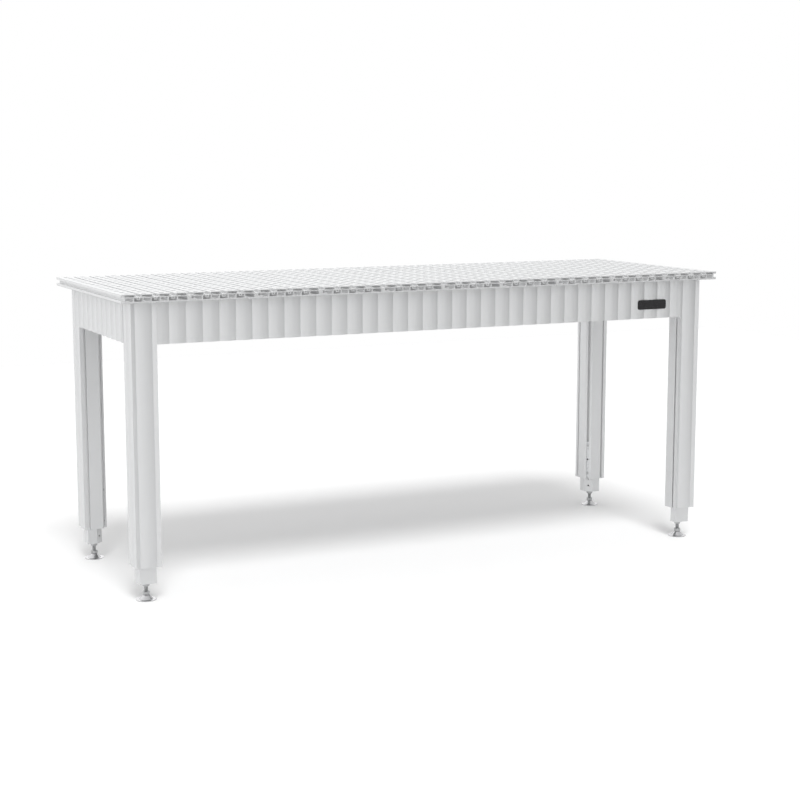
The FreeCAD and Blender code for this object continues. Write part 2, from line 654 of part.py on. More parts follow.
def lock_nut(label, spot, turn):
    """Hexagon nut jammed against the plug, its lower corners turned off to a cone."""
    body = new_body(label)
    profile = new_sketch(body, "front")
    bore, corner = "(spindle_width / 2 + spindle_fit)", "(nut_flats / sqrt(3))"
    draw(profile, [(bore, "0"), ("nut_flats / 2", "0"), (corner, "nut_height / 3"), (corner, "nut_height"),
                   (bore, "nut_height")])
    revolve(body, profile)
    flats = new_sketch(body, "floor")
    draw(flats, box_points("nut_flats / 2", "nut_flats", "-nut_flats", "nut_flats"))
    cut = pocket(body, flats)
    ring = body.newObject("PartDesign::PolarPattern", "flats")
    ring.Originals = [cut]
    ring.Axis = (origin_item(body, "Z_Axis"), [""])
    ring.Angle = 360
    ring.Occurrences = 6
    body.Tip = ring
    place(body, spot, turn)
    return body


# ---------------------------------------------------------------- assembly

CORNERS = {"front_left": (-1, -1, 0), "front_right": (1, -1, 90), "back_right": (1, 1, 180),
           "back_left": (-1, 1, 270)}
made_parts = []
module_total = int(value("module_count"))
for index in range(module_total):
    name = f"top_module_{index + 1:02d}"
    made_parts.append(table_module(name, index, index == 0, index == module_total - 1))

long_span = f"({TABLE_LENGTH} - 2 * leg_inset - leg_width)"
short_span = "(top_depth - 2 * leg_inset - leg_width)"
SIDES = {"front": (long_span, ("0", f"-{SIDE_Y}"), 0), "right": (short_span, (SIDE_X, "0"), 90),
         "back": (long_span, ("0", SIDE_Y), 180), "left": (short_span, (f"-{SIDE_X}", "0"), 270)}
for name, (span, spot, turn) in SIDES.items():
    made_parts.append(fascia(f"fascia_{name}", span, (*spot, f"{UNDERSIDE} - fascia_height"), turn))
    made_parts.append(rail(f"rail_{name}", span, (*spot, UNDERSIDE), turn))

brace_low = f"{UNDERSIDE} - brace_drop - brace_height"
fasteners = {"corner_bolts": [], "corner_nuts": []}
for name, (along, across, turn) in CORNERS.items():
    axis = (f"{along} * {SIDE_X}", f"{across} * {SIDE_Y}")
    stations = [
        (outer_leg, "outer_leg", "foot_room"),
        (inner_tube, "inner_tube", TUBE_FOOT),
        (tube_plug, "tube_plug", TUBE_FOOT),
        (clamp_bar, "clamp_bar", "foot_room + clamp_rise - (clamp_bar_length - clamp_spacing) / 2"),
        (clamp_screws, "clamp_screws", "foot_room + clamp_rise"),
        (corner_brace, "corner_brace", brace_low),
        (lock_nut, "lock_nut", f"{TUBE_FOOT} - nut_height"),
        (foot_spindle, "foot_spindle", "0"),
        (foot_pad, "foot_pad", "0"),
    ]
    for maker, kind, height in stations:
        made_parts.append(maker(f"{kind}_{name}", (*axis, height), turn))
    fasteners["corner_bolts"].append(corner_bolt(f"bolt_{name}", (*axis, brace_low), turn))
    fasteners["corner_nuts"].append(
        corner_nut(f"nut_{name}", (*axis, f"{brace_low} + (brace_height - nut_length) / 2"), turn))
for name, bodies in fasteners.items():
    group = doc.addObject("Part::Compound", name)
    group.Label = name
    group.Links = bodies
    place(group)
    made_parts.append(group)

doc.recompute()
broken = [item.Label for item in doc.Objects if {"Invalid", "Error"} & set(item.State)]
if broken:
    raise RuntimeError(f"objects that did not recompute: {broken}")
for part in made_parts:
    if part.Shape.isNull() or not part.Shape.isValid():
        raise RuntimeError(f"{part.Label} has no valid shape")

os.makedirs("parts", exist_ok=True)
for part in made_parts:
    part.Shape.exportStep(os.path.join("parts", f"{part.Label}.step"))
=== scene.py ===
"""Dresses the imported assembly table: metal finishes, threaded feet, bare name plate and studio."""

import math
from contextlib import contextmanager

import bmesh
import bpy
from bpy.props import FloatProperty, FloatVectorProperty, IntProperty, PointerProperty
from mathutils import Matrix, Vector


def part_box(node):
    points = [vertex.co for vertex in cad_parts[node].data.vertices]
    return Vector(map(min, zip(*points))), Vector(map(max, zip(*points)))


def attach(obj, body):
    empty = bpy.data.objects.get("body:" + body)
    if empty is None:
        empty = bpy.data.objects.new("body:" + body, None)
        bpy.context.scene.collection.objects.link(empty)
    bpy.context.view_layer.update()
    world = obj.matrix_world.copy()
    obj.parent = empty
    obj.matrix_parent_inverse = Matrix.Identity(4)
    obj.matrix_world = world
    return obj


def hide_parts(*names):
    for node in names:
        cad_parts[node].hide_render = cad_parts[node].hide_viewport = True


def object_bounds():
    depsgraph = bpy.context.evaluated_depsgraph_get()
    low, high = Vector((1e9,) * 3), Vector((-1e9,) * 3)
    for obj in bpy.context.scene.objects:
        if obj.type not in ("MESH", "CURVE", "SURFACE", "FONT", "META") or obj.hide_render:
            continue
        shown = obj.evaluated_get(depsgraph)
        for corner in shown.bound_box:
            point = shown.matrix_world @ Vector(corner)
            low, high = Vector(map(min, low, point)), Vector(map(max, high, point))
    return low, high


bl_info = {
    "name": "Assembly table finish",
    "version": (1, 0, 0),
    "blender": (4, 5, 0),
    "location": "3D View > Sidebar > Assembly table",
    "description":
        "Finishes, threaded feet, name plate and studio for the aluminium assembly table",
    "category": "Object",
}

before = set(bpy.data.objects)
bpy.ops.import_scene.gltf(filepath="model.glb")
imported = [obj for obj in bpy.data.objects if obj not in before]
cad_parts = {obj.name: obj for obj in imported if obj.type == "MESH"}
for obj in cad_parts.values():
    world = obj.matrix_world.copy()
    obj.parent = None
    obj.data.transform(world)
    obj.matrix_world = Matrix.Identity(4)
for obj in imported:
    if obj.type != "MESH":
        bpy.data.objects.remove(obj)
LOW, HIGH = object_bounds()
CORNERS = ("front_left", "front_right", "back_right", "back_left")
PLATE_NODES = sorted(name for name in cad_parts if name.startswith("top_module"))
ANODISED_NODES = sorted(
    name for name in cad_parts
    if name.startswith(("fascia", "outer_leg", "rail", "inner_tube")))
MILLIMETRE = 0.001
HAIR = 0.0001       # soft edge of a mask
TOUCHING = 1e-6     # points nearer than this are one
QUARTER_TURN = math.radians(90)
WHITE = (1, 1, 1, 1)
BLACK = (0, 0, 0, 1)
OXIDE = (0.66, 0.665, 0.67, 1)


# ---------------------------------------------------------------- sizes and colours

class PlateFinish(bpy.types.PropertyGroup):
    colour: FloatVectorProperty(
        name="Colour", description="Bare aluminium of the plate", subtype="COLOR", size=3, min=0,
        max=1, default=(0.655, 0.66, 0.665))
    roughness: FloatProperty(
        name="Roughness", description="How matt the plate is", default=0.46, min=0.05, max=1,
        subtype="FACTOR")
    streaks: FloatProperty(
        name="Streaks", description="Strength of the die lines along the slots", default=0.10,
        min=0, max=1, subtype="FACTOR")
    pitch: FloatProperty(
        name="Slot pitch", description="Distance between the slots", default=0.05, min=0.01,
        unit="LENGTH")
    skin: FloatProperty(
        name="Skin", description="Thickness of the skin over the hollows", default=0.0025,
        min=0.001, unit="LENGTH")
    groove: FloatProperty(
        name="End groove", description="Depth of the open grooves along the plate's two ends",
        default=0.0105, min=0.001, unit="LENGTH")
    # a painted glow in the hollows, standing in for the light that bounces about in there
    painted_glow: FloatProperty(
        name="Haze", description="Light that bounces about in the hollows", default=0.12, min=0,
        max=1)
    worn: FloatVectorProperty(
        name="Worn edge",
        description="Where the wear of a slot's edge begins and is full, from the row of holes",
        size=2, default=(0.0185, 0.0212), min=0, unit="LENGTH")
    wall: FloatVectorProperty(
        name="Slot wall",
        description="Where a slot's own hollow begins and is full, from the row of holes", size=2,
        default=(0.013, 0.015), min=0, unit="LENGTH")


class FlutedFinish(bpy.types.PropertyGroup):
    colour: FloatVectorProperty(
        name="Colour", description="Anodised aluminium of the fascias and legs", subtype="COLOR",
        size=3, min=0, max=1, default=(0.655, 0.66, 0.665))
    roughness: FloatProperty(
        name="Roughness", description="How matt the flutes are", default=0.54, min=0.05, max=1,
        subtype="FACTOR")
    streaks: FloatProperty(
        name="Streaks", description="Strength of the upright die lines", default=0.08, min=0,
        max=1, subtype="FACTOR")
    groove: FloatProperty(
        name="Groove", description="Width of the grooves beside the legs' wings", default=0.0064,
        min=0.001, unit="LENGTH")
    groove_depth: FloatProperty(
        name="Groove depth", description="Depth of those grooves", default=0.007, min=0.001,
        unit="LENGTH")
    chamfer: FloatProperty(
        name="Corner cut",
        description="From the leg's square corner to its cut face, along the diagonal",
        default=0.0121, min=0, unit="LENGTH")
    key: FloatProperty(
        name="T-slot", description="Width of the T-slot's cavity in the cut corner", default=0.014,
        min=0.002, unit="LENGTH")
    key_depth: FloatProperty(
        name="T-slot depth", description="Depth of the T-slot", default=0.0096, min=0.002,
        unit="LENGTH")


class SteelFinish(bpy.types.PropertyGroup):
    zinc: FloatVectorProperty(
        name="Zinc colour", description="Zinc plating of bars, nuts and braces", subtype="COLOR",
        size=3, min=0, max=1, default=(0.58, 0.59, 0.60))
    dark: FloatVectorProperty(
        name="Dark steel colour", description="Oiled steel of spindles and screws",
        subtype="COLOR", size=3, min=0, max=1, default=(0.42, 0.425, 0.43))
    polish: FloatVectorProperty(
        name="Polish colour", description="Polished steel of the foot pads", subtype="COLOR",
        size=3, min=0, max=1, default=(0.50, 0.50, 0.51))


class NamePlate(bpy.types.PropertyGroup):
    across: FloatProperty(
        name="Place along", description="Distance of its middle from the table's middle",
        default=0.776, unit="LENGTH")
    up: FloatProperty(
        name="Place up", description="Height of its middle over the fascia's lower edge",
        default=0.045, min=0, unit="LENGTH")
    width: FloatProperty(
        name="Width", description="Length along the fascia", default=0.108, min=0.02,
        unit="LENGTH")
    height: FloatProperty(
        name="Height", description="Height on the fascia", default=0.0305, min=0.01, unit="LENGTH")
    thickness: FloatProperty(
        name="Thickness", description="How far it stands off the flutes", default=0.0016,
        min=0.0005, unit="LENGTH")
    corner: FloatProperty(
        name="Corner", description="Radius of its corners", default=0.0065, min=0.001,
        unit="LENGTH")
    rim: FloatProperty(
        name="Rim", description="Width of the raised rim", default=0.0012, min=0.0002,
        unit="LENGTH")
    colour: FloatVectorProperty(
        name="Colour", description="Black lacquer", subtype="COLOR", size=3, min=0, max=1,
        default=(0.006, 0.006, 0.007))


class Spindle(bpy.types.PropertyGroup):
    width: FloatProperty(
        name="Width", description="Outer width of the thread", default=0.012, min=0.004,
        unit="LENGTH")
    pitch: FloatProperty(
        name="Pitch", description="Rise of the thread in one turn", default=0.00175, min=0.0005,
        unit="LENGTH")
    depth: FloatProperty(
        name="Depth", description="Depth of the thread's groove", default=0.00095, min=0.0001,
        unit="LENGTH")
    sides: IntProperty(name="Sides", description="Steps round one turn", default=24, min=8, max=96)
    hex_low: FloatProperty(
        name="Hexagon's place", description="Height of the hexagon's lower face", default=0.015,
        min=0, unit="LENGTH")
    hex_height: FloatProperty(
        name="Hexagon's height", description="Thickness of the hexagon", default=0.0105, min=0.002,
        unit="LENGTH")
    hex_flats: FloatProperty(
        name="Hexagon's width", description="Distance across its flats", default=0.019, min=0.005,
        unit="LENGTH")
    ball: FloatProperty(
        name="Ball", description="Width of the ball that stands in the pad", default=0.012,
        min=0.004, unit="LENGTH")
    neck: FloatProperty(
        name="Neck", description="Width of the neck over the ball", default=0.008, min=0.002,
        unit="LENGTH")


class Screws(bpy.types.PropertyGroup):
    width: FloatProperty(
        name="Width", description="Width of the shank", default=0.0058, min=0.002, unit="LENGTH")
    length: FloatProperty(
        name="Length", description="Length of the shank", default=0.0069, min=0.002, unit="LENGTH")
    head_width: FloatProperty(
        name="Head's width", description="Width of the round head", default=0.010, min=0.003,
        unit="LENGTH")
    head_height: FloatProperty(
        name="Head's height", description="Height of the round head", default=0.006, min=0.001,
        unit="LENGTH")
    socket: FloatProperty(
        name="Socket", description="Distance across the flats of the key's socket", default=0.005,
        min=0.001, unit="LENGTH")
    pitch: FloatProperty(
        name="Pitch", description="Distance between the plate screws along a rail", default=0.1,
        min=0.02, unit="LENGTH")
    rail_wall: FloatProperty(
        name="Rail wall", description="Thickness of the rails' walls", default=0.003, min=0.001,
        unit="LENGTH")
    brace_sheet: FloatProperty(
        name="Brace sheet", description="Thickness of the corner braces", default=0.004, min=0.001,
        unit="LENGTH")
    brace_inset: FloatProperty(
        name="Brace inset", description="From the flange's edges to its screws", default=0.015,
        min=0.005, unit="LENGTH")


class Studio(bpy.types.PropertyGroup):
    key: FloatProperty(
        name="Key light", description="Strength of the sun lamp", default=1.75, min=0)
    key_angle: FloatProperty(
        name="Key size", description="Angle that the sun lamp fills", default=math.radians(21),
        min=0, subtype="ANGLE")
    side: FloatProperty(
        name="Side light", description="Power of the large lamp on the left", default=15, min=0,
        unit="POWER")
    sky: FloatProperty(
        name="Sky", description="Strength of the surrounding light", default=0.69, min=0)
    key_way: FloatVectorProperty(
        name="Key way", description="Direction towards the sun lamp", default=(-0.12, -0.50, 0.88),
        subtype="XYZ")
    side_size: FloatVectorProperty(
        name="Side size", description="Width and height of the large lamp", size=2,
        default=(3.0, 2.5), min=0.1, unit="LENGTH")
    side_place: FloatVectorProperty(
        name="Side place", description="Where the large lamp hangs", default=(-4.5, -1.5, 1.6),
        subtype="TRANSLATION", unit="LENGTH")
    side_aim: FloatVectorProperty(
        name="Side aim", description="The point that the large lamp faces", default=(0, 0, 0.6),
        subtype="TRANSLATION", unit="LENGTH")
    floor_size: FloatProperty(
        name="Floor", description="Length of the floor's sides", default=10, min=3, unit="LENGTH")
    floor_grey: FloatProperty(
        name="Floor colour", description="How pale the floor is", default=0.82, min=0, max=1)
    floor_glow: FloatProperty(
        name="Floor glow", description="Glow that the camera sees, also through glass",
        default=0.12, min=0)
    floor_mirrored: FloatProperty(
        name="Mirrored floor", description="Glow that metal mirrors", default=0.16, min=0)
    lens: FloatProperty(
        name="Lens", description="Focal length, in millimetres", default=75.06, min=10)
    sensor: FloatProperty(
        name="Sensor", description="Width of the sensor, in millimetres", default=36, min=10)
    camera_place: FloatVectorProperty(
        name="Camera place", description="Where the camera stands",
        default=(-2.3032, -4.8052, 1.2936), subtype="TRANSLATION", unit="LENGTH")
    camera_turn: FloatVectorProperty(
        name="Camera turn", description="How the camera is turned",
        default=(math.radians(81.359), 0, math.radians(-25.827)), subtype="EULER")


class Mirrored(bpy.types.PropertyGroup):
    level: FloatProperty(
        name="Level", description="What metal mirrors at and below the horizon, on average",
        default=0.72, min=0)
    right_fall: FloatProperty(
        name="Fall to the right", description="How much darker the right is", default=0.5)
    back_fall: FloatProperty(
        name="Fall to the back", description="How much darker the back is", default=0.08)
    lift: FloatProperty(
        name="Lift", description="How much brighter it is over the horizon", default=0.58)
    right_lift: FloatProperty(
        name="Right lift", description="What the right has of lift beyond that", default=0.2)
    back_lift: FloatProperty(
        name="Back lift", description="What the back has of lift beyond that", default=0.2)
    patch_lift: FloatProperty(
        name="Patch lift", description="What the patch at the back adds to the lift", default=0.9)
    patch_edge: FloatProperty(
        name="Patch edge", description="How far to the back right the patch begins", default=0.5)
    lift_full: FloatProperty(
        name="Full lift", description="How far up the lift is full", default=0.35, min=0.01, max=1)
    top: FloatVectorProperty(
        name="Top", description="How far up the lift begins to fall, and has fallen", size=2,
        default=(0.5, 0.9), min=0, max=1)
    top_fall: FloatProperty(
        name="Top fall", description="Share of the lift that is gone at the top", default=0.35,
        min=0, max=1)


SETTINGS = {
    "table_plate": PlateFinish,
    "table_flutes": FlutedFinish,
    "table_steel": SteelFinish,
    "table_name_plate": NamePlate,
    "table_spindle": Spindle,
    "table_screws": Screws,
    "table_studio": Studio,
    "table_mirrored": Mirrored,
}


# ---------------------------------------------------------------- shader maths

class Wire:
    """A socket of a node tree. Arithmetic on it adds Math nodes to the tree."""

    def __init__(self, tree, socket):
        self.tree = tree
        self.socket = socket

    def maths(self, operation, *others, clamp=False):
        return add_node(self.tree, "ShaderNodeMath", {"operation": operation, "use_clamp": clamp},
                        [self, *others])

    def __add__(self, other):
        return self.maths("ADD", other)

    def __sub__(self, other):
        return self.maths("SUBTRACT", other)

    def __rsub__(self, other):
        return add_node(self.tree, "ShaderNodeMath", {"operation": "SUBTRACT"}, [other, self])

    def __mul__(self, other):
        return self.maths("MULTIPLY", other)

    __radd__ = __add__
    __rmul__ = __mul__

    def absolute(self):
        return self.maths("ABSOLUTE")

    def remainder(self, step):
        """How far into its step the value is, from 0 to step."""
        return self.maths("FLOORED_MODULO", step)

    def between(self, low, high):
        """0 at low, 1 at high, smooth between."""
        return add_node(self.tree, "ShaderNodeMapRange", {"interpolation_type": "SMOOTHSTEP"},
                        {"Value": self, "From Min": low, "From Max": high})


def add_node(tree, kind, settings=None, inputs=None, output=0):
    """One output of a new node, whose settings are made first and whose sockets are filled then."""
    made = tree.nodes.new(kind)
    for name, setting in (settings or {}).items():
        setattr(made, name, setting)
    pairs = enumerate(inputs) if isinstance(inputs, list) else (inputs or {}).items()
    for key, item in pairs:
        if isinstance(item, Wire):
            tree.links.new(item.socket, made.inputs[key])
        elif item is not None:
            made.inputs[key].default_value = item
    return Wire(tree, made.outputs[output])


def new_material(name):
    """An empty material and its tree."""
    material = bpy.data.materials.new(name)
    material.use_nodes = True
    material.node_tree.nodes.clear()
    return material, material.node_tree


def close_material(tree, shader):
    """Lead the finished shader to the material's output."""
    out = tree.nodes.new("ShaderNodeOutputMaterial")
    tree.links.new(shader.socket, out.inputs["Surface"])


def object_place(tree, stretch=(1, 1, 1), centre=(0, 0, 0)):
    """Object coordinates about a centre, stretched along each axis."""
    here = add_node(tree, "ShaderNodeTexCoord", output=3)
    shift = tuple(-way * scale for way, scale in zip(centre, stretch))
    return add_node(tree, "ShaderNodeMapping", {}, {
        "Vector": here, "Location": shift, "Scale": stretch})


def noise(tree, vector, scale, detail=2.0, roughness=0.5):
    return add_node(tree, "ShaderNodeTexNoise", {},
                    {"Vector": vector, "Scale": scale, "Detail": detail, "Roughness": roughness})


def mix_colours(tree, factor, first, second):
    """Colour that goes from first to second as factor goes from 0 to 1."""
    made = tree.nodes.new("ShaderNodeMix")
    made.data_type = "RGBA"
    ends = (made.inputs[0], made.inputs[6], made.inputs[7])
    for socket, item in zip(ends, (factor, first, second)):
        if isinstance(item, Wire):
            tree.links.new(item.socket, socket)
        else:
            socket.default_value = item
    return Wire(tree, made.outputs[2])


def shade(colour, amount):
    """An opaque colour, lighter or darker by a factor."""
    return tuple(min(channel * amount, 1.0) for channel in colour) + (1.0,)


def bump(tree, height, strength, distance):
    return add_node(tree, "ShaderNodeBump", {}, {
        "Height": height, "Strength": strength, "Distance": distance})


def principled(tree, inputs):
    return add_node(tree, "ShaderNodeBsdfPrincipled", {}, inputs)


def within(wire, low, high, fade=HAIR):
    """1 where the value lies between low and high, 0 outside."""
    return wire.between(low - fade, low) * (1.0 - wire.between(high, high + fade))


def axes(tree, vector):
    """The three numbers of a vector."""
    split = tree.nodes.new("ShaderNodeSeparateXYZ")
    tree.links.new(vector.socket, split.inputs[0])
    return [Wire(tree, out) for out in split.outputs]


def ray_kinds(tree):
    """Three masks: the camera's rays, those that metal mirrors and those through glass."""
    path = tree.nodes.new("ShaderNodeLightPath")
    return [Wire(tree, path.outputs[name]) for name in (
        "Is Camera Ray", "Is Glossy Ray", "Is Transmission Ray")]


def extruded_aluminium(name, colour, roughness, streaks, stretch,
                       wear=None, shaded_under=None, inside=None, painted_glow=0.05):
    """Satin aluminium with die lines along the profile, faint clouds and handling marks.

    wear, the underside mask and inside take the tree and give a mask: where the metal is rubbed
    bright, where the underside gets painted shade, a darker and rougher base, and where it is the
    pale oxidised inside of a hollow profile, which also gets a painted glow that stands in for the
    light that bounces about in there."""
    material, tree = new_material(name)
    lines = noise(tree, object_place(tree, stretch), scale=1.0, detail=3.0, roughness=0.6)
    clouds = noise(tree, object_place(tree), scale=3.5, detail=4.0, roughness=0.55)
    grain = noise(tree, object_place(tree), scale=900.0, detail=1.0, roughness=0.5)
    tone = (lines - 0.5) * streaks + (clouds - 0.5) * 0.10 + (grain - 0.5) * 0.04
    mask = (tone * 4 + 0.5).maths("ADD", 0.0, clamp=True)
    tint = mix_colours(tree, mask, shade(colour, 0.93), shade(colour, 1.06))
    rough = (lines - 0.5) * 0.16 + (clouds - 0.5) * 0.12 + roughness
    if wear is not None:
        worn = wear(tree)
        tint = mix_colours(tree, worn, tint, shade(colour, 1.12))
        rough = rough - worn * 0.1
    metallic, glow = 1.0, BLACK
    if shaded_under is not None:
        # painted shade: the underside is darkened to 0.6 of the colour and made rougher
        shaded_below = shaded_under(tree)
        tint = mix_colours(tree, shaded_below, tint, shade(colour, 0.6))
        rough = rough + shaded_below * 0.15
    if inside is not None:
        # the hollows get their oxide and a painted glow, which stands in for the light that bounces
        # about in there
        oxide_and_glow = inside(tree)
        metallic = 1.0 - oxide_and_glow * 0.9
        tint = mix_colours(tree, oxide_and_glow, tint, OXIDE)
        glow = mix_colours(tree, oxide_and_glow, glow, (painted_glow, painted_glow, painted_glow, 1))
    normal = bump(tree, lines * 0.6 + grain * 0.4, strength=0.25, distance=0.00006)
    close_material(tree, principled(tree, {
        "Base Color": tint, "Metallic": metallic, "Roughness": rough, "Normal": normal,
        "Emission Color": glow, "Emission Strength": 1.0}))
    return material


# ---------------------------------------------------------------- modelling

def select_only(piece):
    bpy.ops.object.select_all(action="DESELECT")
    bpy.context.view_layer.objects.active = piece
    piece.select_set(True)


def just_added():
    """The newest object, with its place, turn and scale written into its mesh."""
    bpy.ops.object.transform_apply(location=True, rotation=True, scale=True)
    return bpy.context.object


@contextmanager
def editing(piece):
    """Edit mode on one piece alone."""
    select_only(piece)
    bpy.ops.object.mode_set(mode="EDIT")
    yield
    bpy.ops.object.mode_set(mode="OBJECT")


def pick(kind, test):
    """Select those faces, edges or verts of the piece in edit mode that pass the test."""
    bpy.ops.mesh.select_mode(type=kind.rstrip("s").upper())
    bpy.ops.mesh.select_all(action="DESELECT")
    mesh = bmesh.from_edit_mesh(bpy.context.object.data)
    for item in getattr(mesh, kind):
        if test(item):
            item.select_set(True)
    mesh.select_flush_mode()
    bmesh.update_edit_mesh(bpy.context.object.data)


def over_corners(flats):
    """A hexagon's width over its corners, from its width over the flats."""
    return flats / math.cos(math.radians(30))


def round_bar(width, low, high, sides):
    """An upright bar about the origin; with 6 sides two of its corners point along X."""
    bpy.ops.object.select_all(action="DESELECT")
    bpy.ops.mesh.primitive_cylinder_add(vertices=sides, radius=width / 2, depth=high - low,
                                        location=(0, 0, (low + high) / 2),
                                        rotation=(0, 0, QUARTER_TURN))
    return just_added()


def bevel_ends(piece, size, segments, ends):
    """Round or chamfer the rims of an upright bar at the given heights."""
    with editing(piece):
        pick("edges", lambda edge: any(
            all(abs(corner.co.z - end) < TOUCHING for corner in edge.verts) for end in ends))
        bpy.ops.mesh.bevel(offset=size, segments=segments, affect="EDGES")


def combine(piece, tool, operation):
    """Cut a piece with a tool or keep what they share; the tool is used up."""
    select_only(piece)
    bpy.ops.object.modifier_add(type="BOOLEAN")
    step = piece.modifiers[-1]
    step.operation, step.object, step.solver = operation, tool, "EXACT"
    bpy.ops.object.modifier_apply(modifier=step.name)
    bpy.data.objects.remove(tool)
    return piece


def join(pieces, name):
    """Several pieces as one object, each keeping its own closed skin."""
    bpy.ops.object.select_all(action="DESELECT")
    for piece in pieces:
        piece.select_set(True)
    bpy.context.view_layer.objects.active = pieces[0]
    bpy.ops.object.join()
    bpy.context.object.name = name
    return bpy.context.object


def twin_of(model, name, place):
    """A copy with a mesh of its own, put in place by a matrix."""
    made = bpy.data.objects.new(name, model.data.copy())
    made.data.transform(place)
    bpy.context.scene.collection.objects.link(made)
    return made


def smooth(piece):
    """Shade smooth where faces meet at less than 35 degrees."""
    select_only(piece)
    bpy.ops.object.shade_smooth_by_angle(angle=math.radians(35))


def fit_out(piece, material, body):
    """Give a finished piece its material and the body that it rides on."""
    piece.data.materials.clear()
    piece.data.materials.append(material)
    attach(piece, body)


# ---------------------------------------------------------------- finishes

def dress(name, material):
    """Give every slot of a CAD node the material."""
    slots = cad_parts[name].data.materials
    if not slots:
        slots.append(material)
    for index in range(len(slots)):
        slots[index] = material


class TABLE_OT_plate_finish(bpy.types.Operator):
    """Give the plate's modules their sawn and brushed aluminium"""
    bl_idname = "table.plate_finish"
    bl_label = "Plate finish"

    def execute(self, context):
        look = context.scene.table_plate

        def from_holes(across):
            """Distance from the nearest row of holes, midway between two slots."""
            return (across.remainder(look.pitch) - look.pitch / 2).absolute()

        def slot_edges(tree):
            """The scuffed edges of the slots."""
            away = from_holes(axes(tree, object_place(tree))[0])
            scuffs = noise(tree, object_place(tree, (1, 0.3, 1)), scale=60.0, detail=3.0)
            return away.between(*look.worn) * scuffs.between(0.45, 0.7) * 0.6

        def hollows(tree):
            """The inside of the profiles, whose oxide and painted glow are fullest in slots, lower
            chambers and end grooves.
            """
            across, along, up = axes(tree, object_place(tree))
            at_slot = from_holes(across).between(*look.wall)
            upper_row = up.between(middle - MILLIMETRE, middle + MILLIMETRE)
            in_groove = across.absolute().between(
                HIGH.x - look.groove - MILLIMETRE / 2, HIGH.x - look.groove)
            lit = at_slot * upper_row + (1.0 - at_slot) * (1.0 - upper_row)
            lit = lit.maths("MAXIMUM", in_groove) * 0.6 + 0.4
            near, far = look.skin * 0.2, look.skin * 0.6
            under_skin = (HIGH.z - up).between(near, far)
            over_floor = up.between(underside + near, underside + far)
            off_the_ends = (HIGH.y - along.absolute()).between(HAIR, 4 * HAIR)
            return under_skin * over_floor * off_the_ends * lit

        def underside_shade(tree):
            """The underside, where shade is painted."""
            up = axes(tree, object_place(tree))[2]
            return 1.0 - up.between(underside + HAIR, underside + 4 * HAIR)

        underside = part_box(PLATE_NODES[0])[0].z
        middle = (HIGH.z + underside) / 2
        # the underside mask paints shade under the plate, and the hollows get oxide and a painted
        # glow
        plate = extruded_aluminium(
            "plate_aluminium", look.colour, look.roughness, look.streaks, stretch=(260, 5, 260),
            wear=slot_edges, shaded_under=underside_shade, inside=hollows, painted_glow=look.painted_glow)
        for name in PLATE_NODES:
            dress(name, plate)
        return {"FINISHED"}


class TABLE_OT_fluted_finish(bpy.types.Operator):
    """Give the fascias, legs, rails and inner tubes their anodised finish"""
    bl_idname = "table.fluted_finish"
    bl_label = "Fluted finish"

    def execute(self, context):
        look = context.scene.table_flutes
        low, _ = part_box("outer_leg_back_right")
        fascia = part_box("fascia_back")[0].y

        def grooves(tree):
            """The fascias' grooves beside the wings and the T-slot in the inner corner, which get
            oxide and a faint painted glow.
            """
            across, along, _ = axes(tree, object_place(tree))
            across, along = across.absolute() - low.x, along.absolute() - low.y
            seat, mouth = fascia - low.y, look.groove_depth
            beside = within(across, -HAIR, mouth) * within(along, seat, seat + look.groove)
            in_front = within(along, -HAIR, mouth) * within(across, seat, seat + look.groove)
            depth, aside = (across + along) * math.sqrt(0.5), (across - along) * math.sqrt(0.5)
            key = within(depth, look.chamfer + 2 * HAIR, look.chamfer + look.key_depth) * within(
                aside, -look.key / 2, look.key / 2)
            return (beside + in_front + key).maths("MINIMUM", 1.0)

        # the grooves get oxide and a faint painted glow, at the default strength
        metal = extruded_aluminium(
            "fluted_aluminium", look.colour, look.roughness, look.streaks, stretch=(300, 300, 4),
            inside=grooves)
        for name in ANODISED_NODES:
            dress(name, metal)
        return {"FINISHED"}


def cloudy_steel(name, colour):
    """Plated or oiled steel, faintly blotched."""
    material, tree = new_material(name)
    clouds = noise(tree, object_place(tree), scale=180.0, detail=4.0, roughness=0.6)
    tint = mix_colours(tree, clouds.between(0.35, 0.65), shade(colour, 0.86), shade(colour, 1.1))
    close_material(tree, principled(tree, {
        "Base Color": tint, "Metallic": 1.0, "Roughness": clouds * 0.2 + 0.3,
        "Normal": bump(tree, clouds, strength=0.2, distance=0.0001)}))
    return material


class TABLE_OT_steel_finish(bpy.types.Operator):
    """Give the fasteners their zinc and the foot pads their polish"""
    bl_idname = "table.steel_finish"
    bl_label = "Steel finish"

    def execute(self, context):
        look = context.scene.table_steel
        zinc = cloudy_steel("zinc_steel", look.zinc)
        dark = cloudy_steel("dark_steel", look.dark)
        polish, tree = new_material("polished_steel")
        marks = noise(tree, object_place(tree, (1, 1, 60)), scale=30.0, detail=2.0)
        tint = mix_colours(tree, marks.between(0.3, 0.7),
                           shade(look.polish, 0.95), shade(look.polish, 1.04))
        close_material(tree, principled(tree, {
            "Base Color": tint, "Metallic": 1.0, "Roughness": marks * 0.1 + 0.2,
            "Normal": bump(tree, marks, strength=0.1, distance=0.00005)}))
        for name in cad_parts:
            if name.startswith("foot_pad"):
                dress(name, polish)
            elif name.startswith(("clamp_screw", "lock_nut", "foot_spindle")):
                dress(name, dark)
            elif name.startswith(("clamp", "corner", "brace", "tube_plug")):
                dress(name, zinc)
        return {"FINISHED"}


# ---------------------------------------------------------------- new pieces

